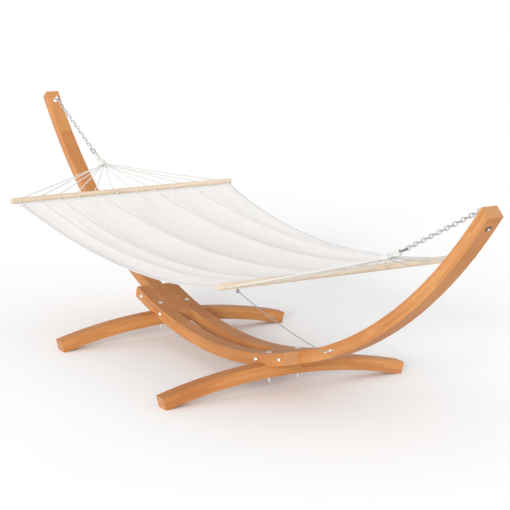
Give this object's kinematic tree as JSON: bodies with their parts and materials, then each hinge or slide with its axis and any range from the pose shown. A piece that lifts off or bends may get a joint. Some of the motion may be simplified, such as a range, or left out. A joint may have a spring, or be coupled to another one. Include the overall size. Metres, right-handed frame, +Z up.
{
  "type": "hammock on stand",
  "caption": "Fabric hammock with wooden spreader bars, hung by chains from an arched laminated timber stand on two arched cross feet",
  "frame": {"origin": "on the floor, under the middle of the stand", "axes": "+Z up, X along the hammock with the front end at +X, Y across it with the right side at +Y"},
  "size_m": [4.0968, 1.234, 1.0562],
  "materials": {
    "stand_timber": "oiled laminated softwood, satin",
    "bar_wood": "sanded pale hardwood, clear matt oil",
    "zinc_hardware": "bright zinc plated steel",
    "chain_steel": "galvanised steel, slightly dull",
    "bed_canvas": "off-white woven cotton canvas",
    "cotton_cord": "white twisted cotton cord",
    "tether_cord": "grey braided elastic cord"
  },
  "bodies": {
    "stand": {"arm_front": "stand_timber", "arm_rear": "stand_timber", "rail_left": "stand_timber", "rail_right": "stand_timber", "foot_front": "stand_timber", "foot_rear": "stand_timber", "side_bolts": "zinc_hardware", "side_washers": "zinc_hardware", "side_nuts": "zinc_hardware", "foot_bolts": "zinc_hardware", "foot_washers": "zinc_hardware", "foot_nuts": "zinc_hardware", "eye_bolt_front": "zinc_hardware", "eye_bolt_rear": "zinc_hardware", "eye_bolt_washers": "zinc_hardware", "eye_bolt_nuts": "zinc_hardware", "arm_eyes": "zinc_hardware", "tether_hooks": "zinc_hardware"},
    "hammock": {"chain_front": "chain_steel", "chain_rear": "chain_steel", "snap_hook_front": "chain_steel", "snap_hook_rear": "chain_steel", "snap_pin_front": "chain_steel", "snap_pin_rear": "chain_steel", "clew_ring_front": "chain_steel", "clew_ring_rear": "chain_steel", "clew_neck_front": "cotton_cord", "clew_neck_rear": "cotton_cord", "neck_binding_front": "cotton_cord", "neck_binding_rear": "cotton_cord", "clew_cords_front": "cotton_cord", "clew_cords_rear": "cotton_cord", "bed_ties_front": "cotton_cord", "bed_ties_rear": "cotton_cord", "spreader_bar_front": "bar_wood", "spreader_bar_rear": "bar_wood", "bed_eyelets_front": "zinc_hardware", "bed_eyelets_rear": "zinc_hardware", "bed": "bed_canvas", "bar_eyes": "zinc_hardware", "tether_front_left": "tether_cord", "tether_front_right": "tether_cord", "tether_rear_left": "tether_cord", "tether_rear_right": "tether_cord"},
    "gate_front": {"snap_gate_front": "chain_steel"},
    "gate_rear": {"snap_gate_rear": "chain_steel"}
  },
  "joints": [
    {"name": "swing", "type": "hinge", "parent": "stand", "child": "hammock", "pos_m": [0, 0, 1.02487], "axis": [1, 0, 0], "range_deg": [-8, 8], "deforming": ["tether_front_left", "tether_front_right", "tether_rear_left", "tether_rear_right"]},
    {"name": "gate_front_open", "type": "hinge", "parent": "hammock", "child": "gate_front", "pos_m": [1.45538, -0.0095, 0.79158], "axis": [-0.4321, 0, 0.9018], "range_deg": [0, 25], "stiffness_Nm_per_rad": 0.05, "springref_deg": -11.46},
    {"name": "gate_rear_open", "type": "hinge", "parent": "hammock", "child": "gate_rear", "pos_m": [-1.45538, -0.0095, 0.79158], "axis": [-0.4321, 0, -0.9018], "range_deg": [0, 25], "stiffness_Nm_per_rad": 0.05, "springref_deg": -11.46}
  ]
}
